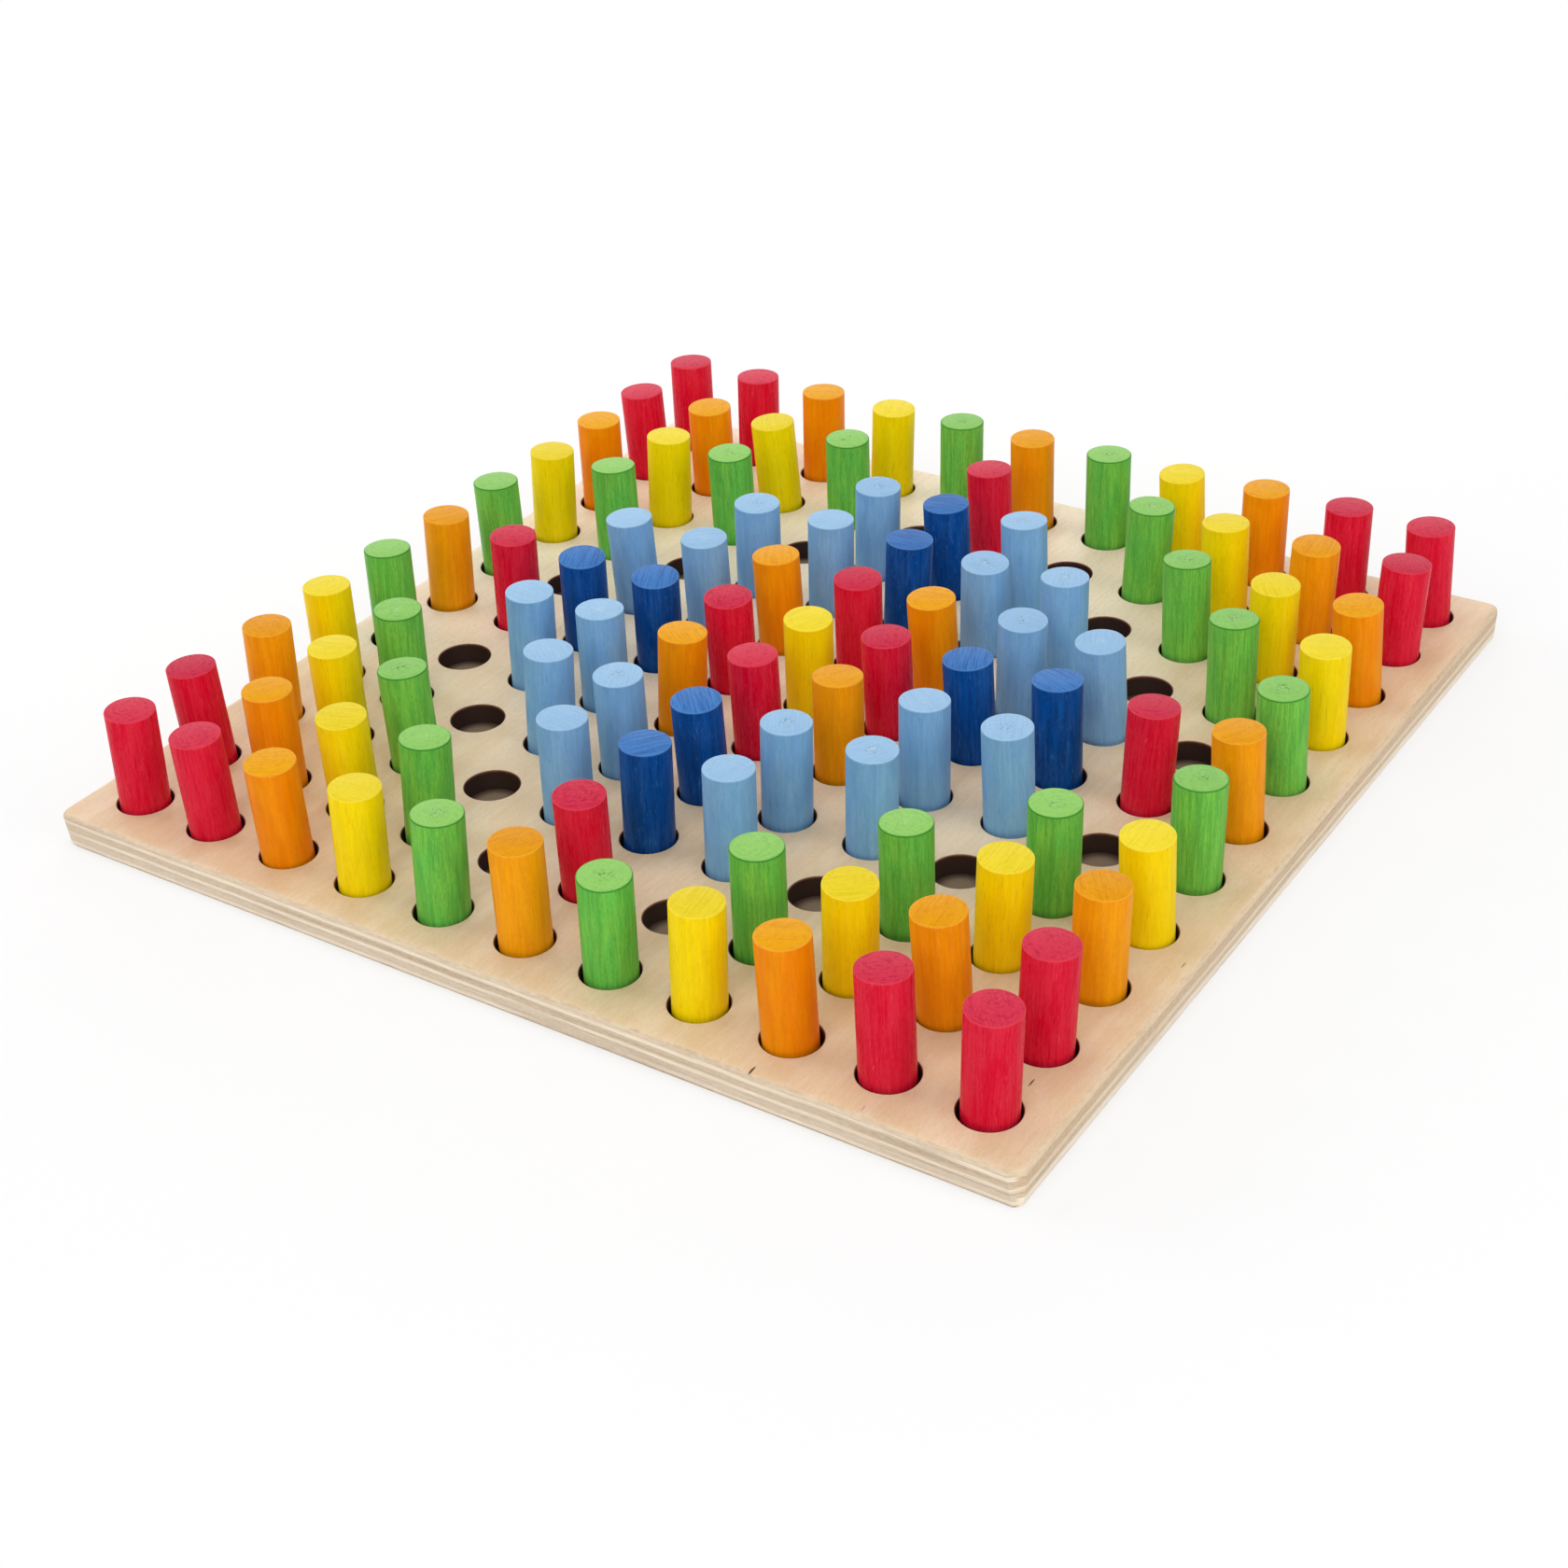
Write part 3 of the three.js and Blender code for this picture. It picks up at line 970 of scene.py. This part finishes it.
peg_nodes = sorted(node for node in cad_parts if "peg" in node and node != "peg_plate")
standing = sum(stand(node, number) for number, node in enumerate(peg_nodes))
bpy.data.objects.remove(pattern_peg)
print("pegs standing:", standing, "in", len(peg_nodes), "pieces")

# %% [markdown]
# ## The perforated plate
# Cutting 121 holes with booleans works, but leaves long thin faces that shade badly. A hole repeats, so
# one square cell of board with its hole is modelled, Geometry Nodes lay it out in a grid and weld the
# cells together, and the rim with its rounded edges and corners is welded on round them.

# %% One cell of the board
HOLE_SIDES = 32
MOUTH = 0.4 * MM


def on_square(angle, half):
    reach = half / max(abs(math.cos(angle)), abs(math.sin(angle)))
    return reach * math.cos(angle), reach * math.sin(angle)


def hole_cell():
    square = [on_square(2 * math.pi * k / HOLE_SIDES, PITCH / 2) for k in range(HOLE_SIDES)]
    wide = circle(HOLE_RADIUS + MOUTH, HOLE_SIDES)
    bore = circle(HOLE_RADIUS, HOLE_SIDES)
    levels = [(square, plate_high.z), (wide, plate_high.z), (bore, plate_high.z - MOUTH),
              (bore, plate_low.z), (square, plate_low.z)]
    bm = bmesh.new()
    loft(bm, [[(x, y, z) for x, y in ring] for ring, z in levels], False)
    return object_of("hole_cell", mesh_of("hole_cell", bm))


cell = hole_cell()
print("one cell has", len(cell.data.polygons), "faces")

# %% [markdown]
# The rim follows the edge of the block of cells. A ring of it is four straight sides and four corners,
# at some inset from the board's outline. The sides use the cells' own edge points, so that the two weld
# without gaps. The edges were sanded by hand: well rounded above, hardly touched underneath. Three
# corners get rounder towards the table, and the one at the front right is cut nearly flat.

# %% Outline of the plates
CORNERS = [
    {"top": 5.6 * MM, "foot": 2.8 * MM, "flat": 0.8},
    {"top": 6 * MM, "foot": 9 * MM, "flat": 0.0},
    {"top": 6 * MM, "foot": 8 * MM, "flat": 0.0},
    {"top": 6 * MM, "foot": 9 * MM, "flat": 0.0},
]
CORNER_STEPS = 6


def side_points(inset, before, after):
    eighth = HOLE_SIDES // 8
    steps = [PITCH / 2 * math.tan(2 * math.pi * k / HOLE_SIDES) for k in range(-eighth, eighth)]
    reach = HOLES_PER_SIDE // 2
    along = [i * PITCH + step for i in range(-reach, reach + 1) for step in steps]
    if inset < BORDER:
        along = [min(max(x, before - plate_high.x), plate_high.x - after) for x in along]
    return [Vector((x, inset - plate_high.x)) for x in along]


def corner_points(inset, radius, flat):
    if inset == BORDER:
        return [Vector((BLOCK_HALF, -BLOCK_HALF))] * (CORNER_STEPS + 1)
    middle = Vector((plate_high.x - radius, radius - plate_high.x))
    shares = [k / CORNER_STEPS for k in range(CORNER_STEPS + 1)]
    turns = [math.pi / 2 * (share - 1) for share in shares]
    arc = [middle + (radius - inset) * Vector((math.cos(a), math.sin(a))) for a in turns]
    return [point.lerp(arc[0].lerp(arc[-1], share), flat) for point, share in zip(arc, shares)]


def rim_ring(inset, z):
    rise = (z - base_low.z) / BOARD_THICKNESS
    radii = [corner["foot"] + rise * (corner["top"] - corner["foot"]) for corner in CORNERS]
    ring = []
    for quarter, corner in enumerate(CORNERS):
        turn = Matrix.Rotation(quarter * math.pi / 2, 2)
        side = side_points(inset, radii[quarter - 1], radii[quarter])
        bend = corner_points(inset, radii[quarter], corner["flat"])
        ring += [turn @ point for point in side + bend]
    return [(*point, z) for point in ring]


print("a ring of the rim has", len(rim_ring(0, base_low.z)), "points")

# %% [markdown]
# The profile of the upper plate's rim runs from the block of cells out to the glue line, which is a fine
# groove between the plates, then up and over the rounded edge, and back in to the cells.

# %% Rim of the upper plate
TOP_ROUND = 2.2 * MM
TOP_REACH = 3.2 * MM
EDGE_STEPS = 4
GLUE_GROOVE = 0.25 * MM
RIM_WELD = 0.001 * MM


def rim_of(name, profile, capped):
    bm = bmesh.new()
    loft(bm, [rim_ring(inset, z) for inset, z in profile], capped)
    bmesh.ops.remove_doubles(bm, verts=bm.verts, dist=RIM_WELD)
    return object_of(name, mesh_of(name, bm))


def upper_profile():
    bend = quarter_round(1, EDGE_STEPS, 0)
    rounded = [(TOP_REACH * (1 - x), plate_high.z - TOP_ROUND * (1 - z)) for x, z in bend]
    return [(BORDER, plate_low.z), (GLUE_GROOVE, plate_low.z), (0, plate_low.z + GLUE_GROOVE),
            *rounded, (BORDER, plate_high.z)]


rim = rim_of("perforated_plate", upper_profile(), False)
print("the rim has", len(rim.data.polygons), "faces")

# %% [markdown]
# The tree lays the cell out on a grid of points, joins the rim to the cells and merges the points that
# lie on each other. The distance for that is far smaller than any detail of the board.

# %% Tree of the perforated plate
CELL_WELD = 0.01 * MM


def hole_grid():
    tree, start, end = geometry_tree("Perforate", {
        "Cell": "NodeSocketObject", "Holes Per Side": "NodeSocketInt", "Pitch": "NodeSocketFloat",
        "Weld": "NodeSocketFloat", "Wood": "NodeSocketMaterial"})
    count = out(start, "Holes Per Side")
    span = product(tree, math_of(tree, "SUBTRACT", count, 1), out(start, "Pitch"))
    sizes = {"Size X": span, "Size Y": span, "Vertices X": count, "Vertices Y": count}
    grid = out(add(tree, "GeometryNodeMeshGrid", sizes), "Mesh")
    spread = {"Points": grid, "Instance": object_in(tree, out(start, "Cell"))}
    cells = out(add(tree, "GeometryNodeInstanceOnPoints", spread))
    cells = out(add(tree, "GeometryNodeRealizeInstances", {"Geometry": cells}))
    join = tree.nodes.new("GeometryNodeJoinGeometry")
    tree.links.new(cells, join.inputs[0])
    tree.links.new(out(start, "Geometry"), join.inputs[0])
    weld = {"Geometry": out(join), "Distance": out(start, "Weld")}
    finish_tree(tree, end, out(add(tree, "GeometryNodeMergeByDistance", weld)), out(start, "Wood"))
    return tree


plate = grow(rim, hole_grid(), {"Cell": cell, "Holes Per Side": HOLES_PER_SIDE, "Pitch": PITCH,
                                "Weld": CELL_WELD, "Wood": perforated_ply})
bpy.data.objects.remove(cell)
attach(plate, "board")
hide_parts("peg_plate")
print(plate.name, "has", len(plate.data.polygons), "faces")

# %% [markdown]
# ## The base plate
# The thinner plate under it has no holes. It is one loft: in from the underside, round the lower edge,
# up to the glue line, and closed on both faces. Its upper face is the floor of the holes.

# %% Make the base plate
FOOT_ROUND = 1.2 * MM


def lower_profile():
    turns = quarter_round(FOOT_ROUND, EDGE_STEPS, -math.pi / 2)
    rounded = [(FOOT_ROUND - x, base_low.z + FOOT_ROUND + z) for x, z in turns]
    return [*rounded, (0, base_high.z - GLUE_GROOVE), (GLUE_GROOVE, base_high.z)]


bottom = rim_of("bottom_plate", lower_profile(), True)
bottom.data.materials.append(bottom_ply)
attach(bottom, "board")
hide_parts("base_plate")
print(bottom.name, "has", len(bottom.data.polygons), "faces")

# %% [markdown]
# ## Camera
# The photograph was taken from the front right and above, with a slight tilt of the camera. The camera
# is placed by those angles, its distance and the point that it looks at.

# %% Place the camera
AZIMUTH = math.radians(34.709)
ELEVATION = math.radians(32.098)
ROLL = math.radians(-2.957)
DISTANCE = 1.00931
TARGET = Vector((0.06886, -0.12407, 0.0615))
FRAME_PIXELS = 1680
FOCAL_PIXELS = 2726.07
SENSOR = 36.0


def place_camera():
    back = Vector((math.sin(AZIMUTH) * math.cos(ELEVATION), -math.cos(AZIMUTH) * math.cos(ELEVATION),
                   math.sin(ELEVATION)))
    level = Vector((0, 0, 1)).cross(back).normalized()
    upright = back.cross(level)
    right = math.cos(ROLL) * level + math.sin(ROLL) * upright
    up = back.cross(right)
    lens = bpy.data.cameras.new("camera")
    lens.sensor_width = SENSOR
    lens.lens = SENSOR * FOCAL_PIXELS / FRAME_PIXELS
    camera = object_of("camera", lens)
    turn = Matrix((right, up, back)).transposed().to_4x4()
    camera.matrix_world = Matrix.Translation(TARGET + back * DISTANCE) @ turn
    bpy.context.scene.camera = camera
    return camera


camera = place_camera()
print("camera at", [round(part, 3) for part in camera.matrix_world.translation])

# %% [markdown]
# ## Floor and light
# The photograph is a studio shot on white paper. To the camera, and in gloss, the floor is white. Close
# round the board a part of its brightness is real reflected light, so that the board keeps its faint
# shadow. More light on the floor would give the same white, but it would wash out the pegs.

# %% Lay the floor
FLOOR_HALF = 6.0
PAPER = (0.87, 0.87, 0.87, 1)
WHITE = (1, 1, 1, 1)
SHADOW_REACH = (0.33, 0.65)
GLOW_BY_BOARD = 0.58


def white_to_camera(tree):
    path = add(tree, "ShaderNodeLightPath", {})
    seen = math_of(tree, "MAXIMUM", out(path, "Is Camera Ray"), out(path, "Is Glossy Ray"))
    return math_of(tree, "MAXIMUM", seen, out(path, "Is Transmission Ray"))


def floor():
    bm = bmesh.new()
    bmesh.ops.create_grid(bm, x_segments=1, y_segments=1, size=FLOOR_HALF)
    ground = object_of("floor", mesh_of("floor", bm))
    material = bpy.data.materials.new("white_floor")
    tree, shader = principled(material)
    tree.nodes.remove(shader)
    paper = add(tree, "ShaderNodeBsdfDiffuse", {"Color": PAPER})
    glow = add(tree, "ShaderNodeEmission", {"Color": WHITE, "Strength": 1.0})
    far = vector_of(tree, "LENGTH", out(add(tree, "ShaderNodeTexCoord", {}), "Object"))
    share = mix_of(tree, soft_step(tree, far, *SHADOW_REACH), GLOW_BY_BOARD, 1.0, "FLOAT")
    amount = product(tree, white_to_camera(tree), share)
    mixed = add(tree, "ShaderNodeMixShader", {0: amount, 1: out(paper), 2: out(glow)})
    tree.links.new(out(mixed), tree.nodes["Material Output"].inputs["Surface"])
    ground.data.materials.append(material)
    return ground


print("floor:", floor().name)

# %% [markdown]
# The light is soft and comes from all round. Five soft boxes give it: one overhead, a low one behind,
# one on each side and the largest in front. A lamp's energy goes with its area, so that a box can
# change its size and stay as bright. Behind it all hangs a white backdrop of limited height. Above it the
# room is dim, which keeps the sheen on the pegs soft.

# %% Light the scene
SKY_LIGHT = 0.22
BACKDROP_TOP = (0.56, 0.42)
LAMPS = {
    "top_box": {"place": (-0.2, 0.35, 1.7), "size": (1.3, 1.3), "brightness": 1.3},
    "back_box": {"place": (-0.55, 0.9, 0.45), "size": (1.8, 0.6), "brightness": 1.5},
    "left_box": {"place": (-2.0, -0.3, 1.2), "size": (1.4, 1.6), "brightness": 2.4},
    "right_box": {"place": (1.7, 0.1, 1.3), "size": (1.4, 1.8), "brightness": 2.0},
    "front_box": {"place": (0.6, -2.0, 1.8), "size": (3.0, 2.0), "brightness": 2.45},
}


def lamp(name, place, size, brightness):
    light = bpy.data.lights.new(name, "AREA")
    light.shape = "RECTANGLE"
    width, depth = size
    light.size = width
    light.size_y = depth
    light.energy = brightness * math.pi * width * depth
    holder = object_of(name, light)
    holder.visible_camera = False
    facing_board = Vector(place).to_track_quat("Z", "Y").to_matrix().to_4x4()
    holder.matrix_world = Matrix.Translation(place) @ facing_board


def backdrop(tree):
    facing = out(add(tree, "ShaderNodeTexCoord", {}), "Generated")
    return soft_step(tree, height_of(tree, facing), *BACKDROP_TOP)


def studio():
    for name, settings in LAMPS.items():
        lamp(name, **settings)
    world = bpy.data.worlds.new("studio")
    bpy.context.scene.world = world
    world.use_nodes = True
    tree = world.node_tree
    white = product(tree, white_to_camera(tree), backdrop(tree))
    light = math_of(tree, "MAXIMUM", white, SKY_LIGHT)
    tree.links.new(light, tree.nodes["Background"].inputs["Strength"])
    tree.nodes["Background"].inputs["Color"].default_value = WHITE
    bpy.context.scene.view_settings.view_transform = "Standard"


studio()
print("lamps:", ", ".join(LAMPS))
